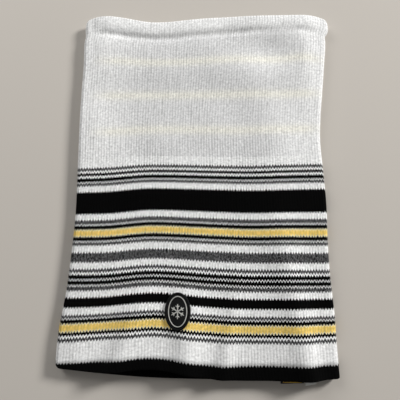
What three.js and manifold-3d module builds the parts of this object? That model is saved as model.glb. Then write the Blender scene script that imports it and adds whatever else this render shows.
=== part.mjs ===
// Knitted double-layer neck gaiter lying flat on its back.
// Millimetres. The tube's axis runs along Y (+Y the white upper end), X runs across, +Z is up.
// The origin is the middle of the footprint, on the surface that the tube lies on.
import * as THREE from 'three';
import { ParametricGeometry } from 'three/addons/geometries/ParametricGeometry.js';
import { mergeVertices, mergeGeometries } from 'three/addons/utils/BufferGeometryUtils.js';
import Module from 'manifold-3d';

// ---- driving dimensions -------------------------------------------------------------------------
const LENGTH = 360;            // mouth to mouth
const HALF_BOTTOM = 128.5;     // half of the flat width at the bottom mouth
const HALF_WAIST = 120;        // half of the flat width at the narrowest place
const HALF_TOP = 126;          // half of the flat width below the top band
const WAIST_Y = 42;            // where the tube is narrowest
const BEND_R = 5;              // outside radius of the two side folds
const DOME_RISE = 6;           // how far the front layer stands above the side folds
const KNIT = 1.6;              // thickness of each knitted layer
const GAP = 0.3;               // clearance between touching pieces
const WALL = 2 * KNIT + GAP;   // outer layer, gap and lining
const HEM_HEIGHT = 15;         // black bottom hem
const TOP_BAND_HEIGHT = 14.5;  // white band at the top mouth
const BAND_PUFF = 1.4;         // how much fuller than the cloth the top band is
const SEAM_THREAD = 1;         // width of the seam thread rings
const SEAM_RECESS = 0.5;       // the thread rings lie this far below both faces of the wall
const FOLD_Y = 50;             // where the tube folds in half
const BACK_SEAM_X = 62;        // place of the closing seam in the back
const BACK_SLOT = 3;           // width of the slot the closing seam lies in
const BACK_RECESS = 0.2;       // the closing seam lies this far inside the back face

const BADGE_X = -20.8;         // badge centre
const BADGE_UP = 62;           // badge centre above the bottom mouth
const BADGE_RX = 12;           // badge half width
const BADGE_RY = 17;           // badge half height
const BORDER_W = 1.9;          // width of the overlocked border
const BORDER_T = 1.7;          // its thickness
const BACKING_T = 0.8;         // backing cloth
const THREAD_T = 0.6;          // embroidered line and motif above the backing
const RING_W = 0.7;            // width of the thin oval line
const RING_INSET = 1.5;        // its distance inside the border
const STAR_ARM = 6;            // length of the snowflake's arms
const STAR_ARM_W = 0.9;        // their width

const LABEL_T = 0.5;           // thickness of both labels
const LABEL_DEPTH = 32;        // how far inside the mouth both labels are sewn on
const LABEL_INSET = 23;        // care label's right edge in from the side fold
const LABEL_SPACE = 1.5;       // between the two labels
const CARE_W = 10;             // width of the care label
const CARE_OUT = 3.4;          // how far it stands out of the mouth
const BRAND_W = 21;            // width of the woven label
const BRAND_OUT = 2.2;         // how far it stands out of the mouth
const MARK_T = 0.25;           // thickness of the raised marks on the woven label
const STITCH_W = 1.6;          // rows of stitches that hold the labels
const STITCH_T = 0.9;

const LABEL_ROOT_Y = LABEL_DEPTH - LENGTH / 2;
const BADGE_Y = BADGE_UP - LENGTH / 2;
const CARE_X0 = HALF_BOTTOM - LABEL_INSET - CARE_W;
const BRAND_X0 = CARE_X0 - LABEL_SPACE - BRAND_W;

// number of flat facets
const SIDE_FACETS = 5;
const TOP_FACETS = 14;
const BACK_FACETS = 6;
const OVAL_FACETS = 40;

const wasm = await Module();
wasm.setup();

// ---- colours ------------------------------------------------------------------------------------
const cloth = (name, color, roughness) => {
  const material = new THREE.MeshStandardMaterial({ color, roughness, metalness: 0 });
  material.name = name;
  return material;
};

// ---- the tube's section -------------------------------------------------------------------------
// Half of the flat width at a given height: it widens from the waist to both mouths.
function halfWidth(y) {
  const lower = y < WAIST_Y;
  const reach = lower ? WAIST_Y + LENGTH / 2 : LENGTH / 2 - WAIST_Y;
  const t = Math.min(Math.abs(y - WAIST_Y) / reach, 1);
  const end = lower ? HALF_BOTTOM : HALF_TOP;
  const power = lower ? 1.7 : 1.4;
  return HALF_WAIST + (end - HALF_WAIST) * Math.pow(t, power);
}

// Height of the front layer's outside face.
function topZ(x, y, puff = 0) {
  const half = halfWidth(y) - BEND_R;
  return 2 * BEND_R + (DOME_RISE + puff) * (1 - Math.pow(x / half, 2));
}

// Point of the section at facet corner i, a distance d inside the outside face.
const FACETS = BACK_FACETS + TOP_FACETS + 2 * SIDE_FACETS;
function sectionPoint(i, y, d, puff, target) {
  const half = halfWidth(y) - BEND_R;
  const widen = puff;
  const radius = BEND_R - d;
  let k = ((i % FACETS) + FACETS) % FACETS;
  if (k <= BACK_FACETS) {
    const x = -half + (2 * half * k) / BACK_FACETS;
    return target.set(x * (1 + widen / half), y, d);
  }
  k -= BACK_FACETS;
  if (k <= SIDE_FACETS) {
    const a = -Math.PI / 2 + (Math.PI * k) / SIDE_FACETS;
    return target.set(half + widen + radius * Math.cos(a), y, BEND_R + radius * Math.sin(a));
  }
  k -= SIDE_FACETS;
  if (k <= TOP_FACETS) {
    const x = half - (2 * half * k) / TOP_FACETS;
    return target.set(x * (1 + widen / half), y, topZ(x, y, puff) - d);
  }
  k -= TOP_FACETS;
  const a = Math.PI / 2 + (Math.PI * k) / SIDE_FACETS;
  return target.set(-half - widen + radius * Math.cos(a), y, BEND_R + radius * Math.sin(a));
}

// A closed ring: the wall profile (a closed loop of y, depth and puff) carried round the section.
function ring(profile) {
  const count = profile.length;
  const place = (u, v, target) => {
    const p = profile[Math.round(v * count) % count];
    sectionPoint(Math.round(u * FACETS), p.y, p.d, p.puff || 0, target);
  };
  const raw = new ParametricGeometry(place, FACETS, count);
  raw.deleteAttribute('normal');
  raw.deleteAttribute('uv');
  return outward(mergeVertices(raw, 1e-4));
}

// Turns a closed mesh so that its faces point out.
function outward(geometry) {
  const p = geometry.attributes.position;
  const index = geometry.index;
  const a = new THREE.Vector3();
  const b = new THREE.Vector3();
  const c = new THREE.Vector3();
  let volume = 0;
  for (let i = 0; i < index.count; i += 3) {
    a.fromBufferAttribute(p, index.getX(i));
    b.fromBufferAttribute(p, index.getX(i + 1));
    c.fromBufferAttribute(p, index.getX(i + 2));
    volume += a.dot(b.cross(c));
  }
  if (volume < 0) {
    for (let i = 0; i < index.count; i += 3) {
      const keep = index.getX(i);
      index.setX(i, index.getX(i + 1));
      index.setX(i + 1, keep);
    }
  }
  return geometry;
}

// Profile of a plain layer between two heights.
function layerProfile(y0, y1, outer, inner, steps) {
  const up = [];
  const down = [];
  for (let s = 0; s <= steps; s++) {
    const y = y0 + ((y1 - y0) * s) / steps;
    up.push({ y, d: outer });
    down.unshift({ y, d: inner });
  }
  return [...up, ...down];
}

// Profile of a folded band: square at its seam end and rounded at the mouth.
function bandProfile(seamY, mouthY, puff) {
  const out = Math.sign(mouthY - seamY);
  const radius = WALL / 2;
  const turnY = mouthY - out * radius;
  const middle = seamY + 0.45 * (turnY - seamY);
  const profile = [
    { y: seamY, d: 0, puff: 0 },
    { y: middle, d: 0, puff },
  ];
  const steps = 6;
  for (let s = 0; s <= steps; s++) {
    const a = (Math.PI * s) / steps;
    profile.push({ y: turnY + out * radius * Math.sin(a), d: radius - radius * Math.cos(a), puff: puff * 0.6 });
  }
  profile.push({ y: middle, d: WALL, puff });
  profile.push({ y: seamY, d: WALL, puff: 0 });
  return profile;
}

// ---- solids cut and joined ----------------------------------------------------------------------
function toManifold(geometry) {
  const clean = geometry.index ? geometry : mergeVertices(geometry, 1e-4);
  const vertProperties = new Float32Array(clean.attributes.position.array);
  const triVerts = new Uint32Array(clean.index.array);
  return new wasm.Manifold(new wasm.Mesh({ numProp: 3, vertProperties, triVerts }));
}

function fromManifold(solid) {
  const mesh = solid.getMesh();
  const geometry = new THREE.BufferGeometry();
  const positions = new Float32Array((mesh.vertProperties.length / mesh.numProp) * 3);
  for (let i = 0; i < positions.length / 3; i++) {
    for (let k = 0; k < 3; k++) {
      positions[i * 3 + k] = mesh.vertProperties[i * mesh.numProp + k];
    }
  }
  geometry.setAttribute('position', new THREE.BufferAttribute(positions, 3));
  geometry.setIndex(new THREE.BufferAttribute(new Uint32Array(mesh.triVerts), 1));
  return geometry;
}

function bare(geometry) {
  geometry.deleteAttribute('normal');
  geometry.deleteAttribute('uv');
  return mergeVertices(geometry, 1e-4);
}

// A box from its low corner to its high corner.
function box(x0, x1, y0, y1, z0, z1) {
  const geometry = bare(new THREE.BoxGeometry(x1 - x0, y1 - y0, z1 - z0));
  geometry.translate((x0 + x1) / 2, (y0 + y1) / 2, (z0 + z1) / 2);
  return geometry;
}

// Takes a slot out of the back of a layer, for the closing seam.
function slotted(geometry, y0, y1) {
  const half = BACK_SLOT / 2;
  const slot = box(BACK_SEAM_X - half, BACK_SEAM_X + half, y0 - 1, y1 + 1, -1, KNIT + GAP / 2);
  return fromManifold(wasm.Manifold.difference(toManifold(geometry), toManifold(slot)));
}

// ---- badge --------------------------------------------------------------------------------------
function ovalShape(rx, ry) {
  const shape = new THREE.Shape();
  for (let i = 0; i < OVAL_FACETS; i++) {
    const a = (2 * Math.PI * i) / OVAL_FACETS;
    if (i === 0) {
      shape.moveTo(rx * Math.cos(a), ry * Math.sin(a));
    } else {
      shape.lineTo(rx * Math.cos(a), ry * Math.sin(a));
    }
  }
  shape.closePath();
  return shape;
}

// Lays a flat plate on the front layer: z is counted from the cloth's outside face.
function draped(geometry) {
  const p = geometry.attributes.position;
  for (let i = 0; i < p.count; i++) {
    const x = p.getX(i) + BADGE_X;
    const y = p.getY(i) + BADGE_Y;
    p.setXYZ(i, x, y, p.getZ(i) + topZ(x, y));
  }
  return geometry;
}

function plate(shape, z0, thickness) {
  const raw = new THREE.ExtrudeGeometry(shape, { depth: thickness, bevelEnabled: false, steps: 1 });
  raw.translate(0, 0, z0);
  return draped(outward(bare(raw)));
}

function ovalRing(rx, ry, width, z0, thickness) {
  const shape = ovalShape(rx, ry);
  shape.holes.push(new THREE.Path(ovalShape(rx - width, ry - width).getPoints()));
  return plate(shape, z0, thickness);
}

// Overlocked border: a rounded cord of thread round the oval.
function borderGeometry() {
  const profile = [
    [0, 0], [0, 0.55], [0.22, 0.9], [0.5, 1], [0.78, 0.9], [1, 0.55], [1, 0],
  ];
  const place = (u, v, target) => {
    const a = 2 * Math.PI * ((Math.round(u * OVAL_FACETS) % OVAL_FACETS) / OVAL_FACETS);
    const [across, up] = profile[Math.round(v * profile.length) % profile.length];
    const inset = across * BORDER_W;
    target.set((BADGE_RX - inset) * Math.cos(a), (BADGE_RY - inset) * Math.sin(a), GAP + up * BORDER_T);
  };
  const raw = new ParametricGeometry(place, OVAL_FACETS, profile.length);
  return draped(outward(bare(raw)));
}

// Generic snowflake: three crossed bars, each with two pairs of short side arms.
function snowflake(z0) {
  let flake = null;
  const add = (geometry) => {
    const solid = toManifold(outward(geometry));
    flake = flake ? wasm.Manifold.union(flake, solid) : solid;
  };
  for (let arm = 0; arm < 6; arm++) {
    const turn = (Math.PI / 3) * arm + Math.PI / 2;
    const bar = box(-0.2, STAR_ARM, -STAR_ARM_W / 2, STAR_ARM_W / 2, 0, THREAD_T);
    bar.rotateZ(turn);
    add(bar);
    for (const side of [-1, 1]) {
      const twig = box(0, STAR_ARM * 0.32, -STAR_ARM_W * 0.35, STAR_ARM_W * 0.35, 0, THREAD_T);
      twig.rotateZ((side * Math.PI) / 3.4);
      twig.translate(STAR_ARM * 0.58, 0, 0);
      twig.rotateZ(turn);
      add(twig);
    }
  }
  const geometry = fromManifold(flake);
  geometry.translate(0, 0, z0);
  return draped(geometry);
}

// ---- assembly -----------------------------------------------------------------------------------
const gaiter = new THREE.Group();
gaiter.name = 'neck_gaiter';

function add(name, geometry, material) {
  geometry.computeVertexNormals();
  const mesh = new THREE.Mesh(geometry, material);
  mesh.name = name;
  gaiter.add(mesh);
}

const bottomMouth = -LENGTH / 2;
const topMouth = LENGTH / 2;
const seamRoom = SEAM_THREAD + 2 * GAP;
const hemSeamY = bottomMouth + HEM_HEIGHT;         // band end of the bottom seam
const topSeamY = topMouth - TOP_BAND_HEIGHT;       // band end of the top seam
const clothBottom = hemSeamY + seamRoom;
const clothTop = topSeamY - seamRoom;
const foldLow = FOLD_Y - GAP / 2;
const foldHigh = FOLD_Y + GAP / 2;
const liningOut = KNIT + GAP;

const whiteKnit = 0xe4e4e3;
const blackKnit = 0x0c0c0c;

// lower half
add('shell_lower', slotted(ring(layerProfile(clothBottom, foldLow, 0, KNIT, 7)), clothBottom, foldLow),
  cloth('striped_knit', 0x8d8b84, 0.95));
add('lining_lower', ring(layerProfile(clothBottom, foldLow, liningOut, WALL, 7)),
  cloth('lining_knit', 0xdedcd4, 0.95));
add('hem_band', ring(bandProfile(hemSeamY, bottomMouth, 0)), cloth('black_knit', blackKnit, 0.95));
add('hem_seam', ring(layerProfile(hemSeamY + GAP, hemSeamY + GAP + SEAM_THREAD, SEAM_RECESS,
  WALL - SEAM_RECESS, 1)), cloth('black_thread', 0x111111, 0.8));

// upper half
add('shell_upper', slotted(ring(layerProfile(foldHigh, clothTop, 0, KNIT, 5)), foldHigh, clothTop),
  cloth('white_knit', whiteKnit, 0.95));
add('lining_upper', ring(layerProfile(foldHigh, clothTop, liningOut, WALL, 5)),
  cloth('lining_knit', 0xdedcd4, 0.95));
add('top_band', ring(bandProfile(topSeamY, topMouth, BAND_PUFF)), cloth('white_knit', whiteKnit, 0.95));
add('top_seam', ring(layerProfile(topSeamY - GAP - SEAM_THREAD, topSeamY - GAP, SEAM_RECESS,
  WALL - SEAM_RECESS, 1)), cloth('white_thread', 0xd9d9d8, 0.8));

// closing seam in the back
const seamHalf = BACK_SLOT / 2 - GAP;
add('back_seam_lower', box(BACK_SEAM_X - seamHalf, BACK_SEAM_X + seamHalf, clothBottom, foldLow,
  BACK_RECESS, KNIT), cloth('white_thread', 0xd9d9d8, 0.8));
add('back_seam_upper', box(BACK_SEAM_X - seamHalf, BACK_SEAM_X + seamHalf, foldHigh, clothTop,
  BACK_RECESS, KNIT), cloth('white_thread', 0xd9d9d8, 0.8));

// badge
const backingTop = GAP + BACKING_T;
const backingInset = BORDER_W + GAP;
const lineInset = BORDER_W + GAP + RING_INSET;
add('badge_border', borderGeometry(), cloth('black_thread', 0x0e0e0e, 0.7));
add('badge_backing', plate(ovalShape(BADGE_RX - backingInset, BADGE_RY - backingInset), GAP, BACKING_T),
  cloth('badge_cloth', 0x151515, 0.9));
add('badge_line', ovalRing(BADGE_RX - lineInset, BADGE_RY - lineInset, RING_W, backingTop + GAP, THREAD_T),
  cloth('pale_thread', 0xcfcfca, 0.7));
add('badge_motif', snowflake(backingTop + GAP), cloth('pale_thread', 0xcfcfca, 0.7));

// labels inside the bottom mouth, lying on the lining of the back layer
const labelZ = WALL + GAP;
const brandEnd = bottomMouth - BRAND_OUT;
const careEnd = bottomMouth - CARE_OUT;
const rootEnd = LABEL_ROOT_Y - GAP;
add('woven_label', box(BRAND_X0, BRAND_X0 + BRAND_W, brandEnd, rootEnd, labelZ, labelZ + LABEL_T),
  cloth('dark_weave', 0x17181b, 0.75));
add('care_label', box(CARE_X0, CARE_X0 + CARE_W, careEnd, rootEnd, labelZ, labelZ + LABEL_T),
  cloth('white_tape', 0xe9e9e6, 0.6));

// raised generic mark on the woven label: one long bar with short bars standing on it
let mark = null;
const markZ = labelZ + LABEL_T + GAP;
const markLow = brandEnd + 1.2;
const bars = [box(BRAND_X0 + 3, BRAND_X0 + BRAND_W - 3, markLow, markLow + 1.2, markZ, markZ + MARK_T)];
for (let i = 0; i < 4; i++) {
  const x = BRAND_X0 + 4 + i * 4;
  bars.push(box(x, x + 1.4, markLow + 0.6, markLow + 5 - (i % 2) * 1.5, markZ, markZ + MARK_T));
}
for (const bar of bars) {
  const solid = toManifold(outward(bar));
  mark = mark ? wasm.Manifold.union(mark, solid) : solid;
}
add('woven_mark', fromManifold(mark), cloth('yellow_thread', 0xd7b15c, 0.7));

// rows of stitches that hold the labels' ends
add('woven_label_stitch', box(BRAND_X0, BRAND_X0 + BRAND_W, LABEL_ROOT_Y, LABEL_ROOT_Y + STITCH_W,
  labelZ, labelZ + STITCH_T), cloth('black_thread', 0x0e0e0e, 0.7));
add('care_label_stitch', box(CARE_X0, CARE_X0 + CARE_W, LABEL_ROOT_Y, LABEL_ROOT_Y + STITCH_W,
  labelZ, labelZ + STITCH_T), cloth('white_thread', 0xd9d9d8, 0.8));

export default gaiter;
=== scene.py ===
# Knitted double-layer neck gaiter lying flat: its looks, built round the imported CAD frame.
# Lengths are in millimetres until a mesh is made, which turns them into metres.
import bpy
import math
import numpy as np
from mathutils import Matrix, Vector


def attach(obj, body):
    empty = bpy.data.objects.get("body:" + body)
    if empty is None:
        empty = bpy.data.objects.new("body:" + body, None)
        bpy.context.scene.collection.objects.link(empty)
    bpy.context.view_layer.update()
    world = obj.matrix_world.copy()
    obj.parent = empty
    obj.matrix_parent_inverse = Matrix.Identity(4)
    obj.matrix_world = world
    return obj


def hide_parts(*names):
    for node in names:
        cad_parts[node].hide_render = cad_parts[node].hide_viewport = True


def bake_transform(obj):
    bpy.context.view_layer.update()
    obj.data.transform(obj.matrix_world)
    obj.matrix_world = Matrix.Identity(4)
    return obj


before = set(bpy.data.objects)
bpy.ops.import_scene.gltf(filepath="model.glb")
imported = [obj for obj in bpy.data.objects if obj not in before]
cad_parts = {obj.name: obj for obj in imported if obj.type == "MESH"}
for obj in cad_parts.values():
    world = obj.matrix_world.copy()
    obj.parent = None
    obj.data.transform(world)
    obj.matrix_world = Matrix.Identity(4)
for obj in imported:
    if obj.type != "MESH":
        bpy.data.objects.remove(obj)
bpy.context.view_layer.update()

MM = 0.001
RNG = np.random.default_rng(7)

# ---- the tube ----
HALF_LENGTH = 180.0  # mouth to mouth is twice this
FOLD_R = 5.0         # radius of the two side folds
DOME = 0.8           # how far the front layer stands above the side folds
KNIT_T = 1.6         # thickness of one knitted layer
EDGE_R = 2.0         # radius of the rolled edges at both mouths
BACK_Z = 0.1         # the back layer's lowest point
RIBS = 186           # ribs round the tube
PER_RIB = 4          # mesh columns for each rib
RIB_DEPTH = 0.24     # crest to groove
COURSE = 1.016       # height of one course of stitches
PATTERN_TOP = 20.35  # where the topmost stripe starts
FOLD_Y = 50.0        # the tube folds in half here
SEAM_X = 62.0        # the closing seam in the back
SEAM_DIP = 0.9       # how deep it lies in the cloth

# The side folds' places, from the bottom mouth to the top one.
EDGE_Y = [-180, -165, -140, -119, -97, -75, -52, -20, 19, 44, 69, 95, 128, 148, 161, 169, 180]
LEFT_X = [-129, -131.5, -130.7, -128.0, -125.0, -123.0, -121.4, -120.1, -120.4, -120.7, -120.9,
          -120.6, -119.8, -120.2, -119.6, -119.2, -119]
RIGHT_X = [126.5, 126.0, 125.2, 124.8, 123.4, 122.2, 122.0, 122.6, 120.8, 119.7, 121.2,
           124.2, 127.9, 130.0, 131.0, 132.9, 133.4]

# How far the courses are pulled up or down along the tube, at some places across it.
ACROSS = [-128, -90, -45, 15, 55, 100, 128]
FRONT_SHIFT = {
    -180: [12.0, 9.5, 11.5, 3.0, 1.6, 1.8, 3.2],
    -162: [-1.2, 1.4, 4.4, -2.3, -2.4, -2.2, -1.7],
    -134: [-1.4, 0.8, 3.6, -1.2, -2.6, -2.2, -1.8],
    -108: [-2.5, -1.3, 2.5, -2.2, -3.6, -3.4, -3.3],
    -68: [-0.8, -0.5, 3.0, 0.1, -1.4, -1.4, -1.2],
    18: [-2.6, -1.4, 1.7, 0.6, 0.0, 1.8, 2.4],
    100: [-1.0, -1.6, -1.6, -0.8, -0.2, 1.0, 1.5],
    162: [2.6, -2.8, -8.2, -3.0, 0.2, 2.0, -0.5],
    180: [0.4, -0.8, -8.0, -2.6, -1.0, 0.9, 0.6],
}
BACK_SHIFT = {
    -180: [10.5, 6.6, 3.2, 1.6, 1.4, 0.9, 3.2],
    -120: [3.0, 2.0, 1.0, 0.4, 0.3, 0.2, 1.0],
    120: [0, 0, 0, 0, 0, 0, 0],
    180: [-1.0, -3.0, -7.0, -4.0, -2.0, -1.0, -1.0],
}


def cubic(t, low, high, slope_low, slope_high):
    """Curve from low to high as t goes from 0 to 1, with the given slopes at its ends."""
    return (
        (1 + 2 * t) * (1 - t) ** 2 * low
        + t * (1 - t) ** 2 * slope_low
        + t * t * (3 - 2 * t) * high
        - t * t * (1 - t) * slope_high
    )


def interval(xs, x):
    """The stretch between two xs that x lies in, its length, and how far along it x is."""
    step = np.diff(xs)
    i = np.clip(np.searchsorted(xs, x) - 1, 0, len(xs) - 2)
    return i, step[i], np.clip((x - xs[i]) / step[i], 0, 1)


def hermite(xs, ys, x):
    """Smooth curve through the points, flat where they turn."""
    xs, ys, x = np.asarray(xs, float), np.asarray(ys, float), np.asarray(x, float)
    rise = np.diff(ys) / np.diff(xs)
    slope = np.zeros_like(ys)
    both = rise[:-1] * rise[1:] > 0
    slope[1:-1] = np.where(both, (rise[:-1] + rise[1:]) / 2, 0)
    slope[0], slope[-1] = rise[0], rise[-1]
    i, step, t = interval(xs, x)
    return cubic(t, ys[i], ys[i + 1], step * slope[i], step * slope[i + 1])


def smooth(a, b, x):
    """0 up to a, 1 from b on, and an even curve between them."""
    t = np.clip((x - a) / (b - a), 0, 1)
    return t * t * (3 - 2 * t)


def bump(x, centre, width):
    """Bell curve that is 1 at its centre."""
    return np.exp(-(((x - centre) / width) ** 2))


def swell(x, shape):
    """A bump given as its place, width and height."""
    return shape[2] * bump(x, shape[0], shape[1])


def shift(table, x, y):
    """The along-tube shift at x and y, from a table of lines across the tube."""
    x = np.clip(x, ACROSS[0], ACROSS[-1])
    ys = np.array(sorted(table), float)
    lines = np.stack([hermite(ACROSS, table[k], x) for k in sorted(table)])
    i, step, t = interval(ys, y)
    last = len(ys) - 1

    def line(k):
        return np.take_along_axis(lines, k[None], 0)[0]

    low, high = line(i), line(i + 1)
    before, after = np.maximum(i - 1, 0), np.minimum(i + 2, last)
    slope_low = (high - line(before)) / (ys[i + 1] - ys[before]) * step
    slope_high = (line(after) - low) / (ys[after] - ys[i]) * step
    return cubic(t, low, high, slope_low, slope_high)


REST = -2.0          # the front layer can't come lower than this
REST_SHARP = 3.0     # how suddenly it stops there
WAVE_HIGH = 0.16
# Random waves: how fast they change across and along, where they start, which way they lean.
WAVES = [
    (RNG.uniform(0.0264, 0.121), RNG.uniform(0.0176, 0.077), RNG.uniform(0, 6.28), RNG.choice([-1, 1]))
    for _ in range(9)
]
RUFFLE_FOOT = -150   # the ruffles are given where they cross this line, and fade upward from it
# Ruffles: place of the crest, how it leans going up, width, height, and how far up it reaches.
RUFFLES = [
    (-68, 0.36, 13, 7.4, 80),
    (-12, 0.0, 13, 6.6, 75),
    (24, 0.18, 8, 3.8, 110),
    (95, -0.18, 12, 4.8, 150),
    (85, -0.10, 20, 3.2, 480),
]
# Each as place, width and height: the fuller cloth along the left fold, the fuller top band, and
# where the front of the bottom mouth gapes a little, up to GAPE_TOP.
LEFT_PUFF = (-122, 17, 2.2)
BAND_PUFF = (171.5, 7.0, 0.9)
GAPE = (-42, 40, 2.2)
GAPE_TOP = -150
# The drawn-in line under the top band and the hollow round it: place, width and depth, then where
# across the tube, how wide and by what share they are slacker.
DRAWN_IN = [
    (162, 2.8, 2.1, 84, 26, 0.7),
    (159, 8.0, 0.8, 80, 40, 1.0),
]
UPPER_RISE = (88, 128, 3.0)      # from the first line to the second the cloth rises by the third
# The dent by the top right corner and the bulge beside it: place and width across, place and width
# along, height.
DENTS = [
    (72, 26, 138, 19, -6.4),
    (116, 20, 138, 27, 2.0),
]
# A soft crease by the top left corner: its middle, direction and length, and its ridge and furrow,
# each as place off the crease, width and height.
CREASE_AT = (-104, 138)
CREASE_WAY = (0.62, 0.78)
CREASE_LONG = 26
CREASE_SIDES = [(0, 6.5, 1.6), (-10, 6, -1.5)]


def front_lift(x, y):
    """How far the front layer stands above the side folds' tops, before rounding at the sides."""
    # gentle waviness of cloth that was smoothed out by hand
    waves = (np.sin(across * x + sign * along * y + phase) for across, along, phase, sign in WAVES)
    z = WAVE_HIGH * sum(waves)
    up = y - RUFFLE_FOOT
    for crest, lean, wide, high, reach in RUFFLES:
        z = z + high * bump(x, crest + lean * up, wide) * (1 - smooth(0, reach, up))
    for at, wide, deep, slack_x, slack_wide, slack in DRAWN_IN:
        z = z - deep * bump(y, at, wide) * (1 - slack * bump(x, slack_x, slack_wide))
    for x_at, x_wide, y_at, y_wide, high in DENTS:
        z = z + high * bump(x, x_at, x_wide) * bump(y, y_at, y_wide)
    z = z + swell(x, LEFT_PUFF) + swell(y, BAND_PUFF)
    z = z + UPPER_RISE[2] * smooth(UPPER_RISE[0], UPPER_RISE[1], y)
    away_x, away_y = x - CREASE_AT[0], y - CREASE_AT[1]
    along = away_x * CREASE_WAY[0] + away_y * CREASE_WAY[1]
    off = away_y * CREASE_WAY[0] - away_x * CREASE_WAY[1]
    z = z + sum(swell(off, side) for side in CREASE_SIDES) * bump(along, 0, CREASE_LONG)
    z = z + swell(x, GAPE) * (1 - smooth(-HALF_LENGTH, GAPE_TOP, y))
    # the layers below hold it up
    return REST + np.logaddexp(0, (z - REST) * REST_SHARP) / REST_SHARP


SIDE_SOFT = 0.35     # the ruffles and dents fade out where side, below, is less than this
SEAM_WIDE = 2.2
SEAM_DEEP = 3.0      # the closing seam is felt down to this depth


def middle_and_half(y, wide=0.0):
    """Middle of the tube at y, and half the width of its flat part."""
    left, right = hermite(EDGE_Y, LEFT_X, y) - wide, hermite(EDGE_Y, RIGHT_X, y) + wide
    return (left + right) / 2, (right - left) / 2 - FOLD_R


def front_height(x, y, centre, half):
    """Height of the front layer's outside over the side folds' lowest points."""
    side = np.clip(1 - ((x - centre) / half) ** 2, 0, 1)
    return 2 * FOLD_R + side * DOME + front_lift(x, y) * smooth(0, SIDE_SOFT, side)


def section(frac, y, d, wide=0.0):
    """Place across and up of the tube's wall. frac goes once round from the left fold over the
    front; d is the depth inside the outside face. Returns x, z and the share of the front."""
    centre, half = middle_and_half(y, wide)
    arc = math.pi * FOLD_R
    q = frac * (4 * half + 2 * arc)

    def fold(start, angle, way):
        """A side fold that starts at q = start, there at the given angle."""
        t = angle - (q - start) / FOLD_R
        r = FOLD_R - d
        return centre + way * half + r * np.cos(t), FOLD_R + r * np.sin(t), smooth(-1, 1, np.sin(t))

    # the front layer, from left to right
    x = centre - half + q
    z = front_height(x, y, centre, half) - d
    front = np.ones_like(z)
    # then the right fold, the back layer from right to left, and the left fold
    back_x = centre + 3 * half + arc - q
    seam = SEAM_DIP * bump(back_x, SEAM_X, SEAM_WIDE) * np.clip(1 - d / SEAM_DEEP, 0, 1)
    for start, stretch in (
        (2 * half, fold(2 * half, math.pi / 2, 1)),
        (2 * half + arc, (back_x, d + seam, 0.0)),
        (4 * half + arc, fold(4 * half + arc, -math.pi / 2, -1)),
    ):
        x, z, front = (np.where(q >= start, new, old) for new, old in zip(stretch, (x, z, front)))
    return x, z + BACK_Z, front


TOP_MIDDLE = (LEFT_X[-1] + RIGHT_X[-1]) / 2
TOP_HALF = (RIGHT_X[-1] - LEFT_X[-1]) / 2
CORNER_WIDE = 18.0   # the top mouth's corners are rounded over this much of its width
CORNER_HIGH = 8.0
CORNER_FULL = 0.97   # how much of a quarter circle that takes up
CORNER_FROM = 150    # the cloth is drawn down by it from this line up
BAND_WIDER = (173, 7.0, 0.5)     # how much further the side folds stand out in the top band,
BAND_WAIST = (160, 5.0, 0.7)     # and are drawn in below it: place, width, how far


def corner_drop(x, y):
    """How far the cloth lies lower by the rounded corners of the top mouth."""
    beyond = np.clip((np.abs(x - TOP_MIDDLE) - (TOP_HALF - CORNER_WIDE)) / CORNER_WIDE, 0, 1)
    drop = CORNER_HIGH * (1 - np.sqrt(1 - CORNER_FULL * beyond ** 2))
    return drop * smooth(CORNER_FROM, HALF_LENGTH, y)


def place(frac, y, d):
    """A point of the tube's wall, with the cloth's shifts along the tube."""
    x, z, front = section(frac, y, d, swell(y, BAND_WIDER) - swell(y, BAND_WAIST))
    y_front = y + shift(FRONT_SHIFT, x, y)
    y_back = y + shift(BACK_SHIFT, x, y)
    return x, front * y_front + (1 - front) * y_back - corner_drop(x, y), z


# ---- meshes ----
def mesh_object(name, points, faces, uv=None, smooth_faces=True):
    """New object from points in millimetres; uv holds two numbers for each face corner."""
    mesh = bpy.data.meshes.new(name)
    mesh.from_pydata((np.asarray(points, float) * MM).tolist(), [], faces)
    if uv is not None:
        layer = mesh.uv_layers.new(name="Knit")
        layer.data.foreach_set("uv", np.asarray(uv, np.float32).ravel())
    mesh.polygons.foreach_set("use_smooth", np.full(len(mesh.polygons), smooth_faces))
    mesh.update()
    obj = bpy.data.objects.new(name, mesh)
    bpy.context.scene.collection.objects.link(obj)
    return obj


def points_of(mesh):
    """A mesh's points, in metres."""
    co = np.zeros(len(mesh.vertices) * 3)
    mesh.vertices.foreach_get("co", co)
    return co.reshape(-1, 3)


def outward(obj):
    """Turns a closed mesh so that its faces point out."""
    mesh = obj.data
    mesh.calc_loop_triangles()
    tri = np.zeros(len(mesh.loop_triangles) * 3, int)
    mesh.loop_triangles.foreach_get("vertices", tri)
    a, b, c = points_of(mesh)[tri.reshape(-1, 3)].transpose(1, 0, 2)
    if (a * np.cross(b, c)).sum() < 0:
        mesh.flip_normals()
    return obj


RIB_SWAY = 0.11      # how far a rib wanders sideways, as a share of its width
RIB_ROUND = 0.8      # below 1 the crests are fuller and the grooves narrower
RIB_RATE = RNG.uniform(0.05, 0.16, RIBS)
RIB_PHASE = RNG.uniform(0, 2 * math.pi, RIBS)


def rib_depth(frac):
    """0 on a rib's crest, 1 in the groove between two ribs."""
    return 1 - np.abs(np.sin(np.pi * frac * RIBS)) ** RIB_ROUND


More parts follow.
